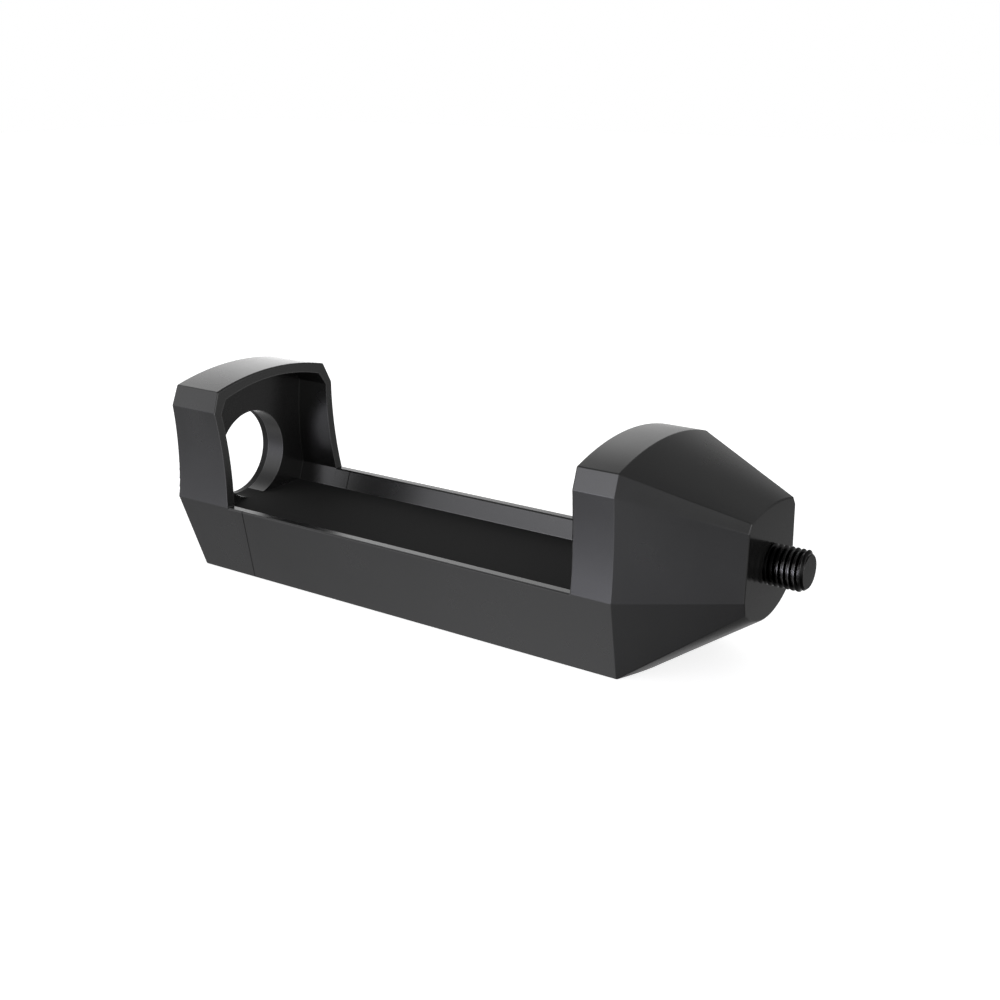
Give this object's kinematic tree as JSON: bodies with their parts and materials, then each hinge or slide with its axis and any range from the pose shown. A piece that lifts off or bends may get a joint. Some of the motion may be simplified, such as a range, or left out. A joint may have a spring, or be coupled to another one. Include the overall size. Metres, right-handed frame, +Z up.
{
  "type": "cradle mounting block",
  "caption": "Black machined aluminium mounting block: a trough-shaped cradle between a hooded end with a round opening and a tapered tower with a short threaded stud.",
  "frame": {"origin": "middle of the overall box, on the flat underside", "axes": "+X along the block from the hood to the threaded stud, +Y across it, +Z up from the underside"},
  "size_m": [0.1448, 0.0386, 0.0441],
  "materials": {
    "anodised_body": "fine bead-blasted, black anodised, satin",
    "anodised_hood": "fine bead-blasted, black anodised, satin",
    "anodised_ring": "turned, black anodised, satin",
    "black_oxide_stud": "rolled thread, black oxide",
    "black_oxide_screws": "black oxide",
    "ground_pins": "ground steel"
  },
  "bodies": {
    "root": {"cradle_body": "anodised_body", "hood": "anodised_hood", "aperture_ring": "anodised_ring", "stud": "black_oxide_stud", "hood_cap_screws": "black_oxide_screws", "hood_dowels": "ground_pins", "ring_screws": "black_oxide_screws", "stud_set_screw": "black_oxide_screws"}
  },
  "joints": []
}
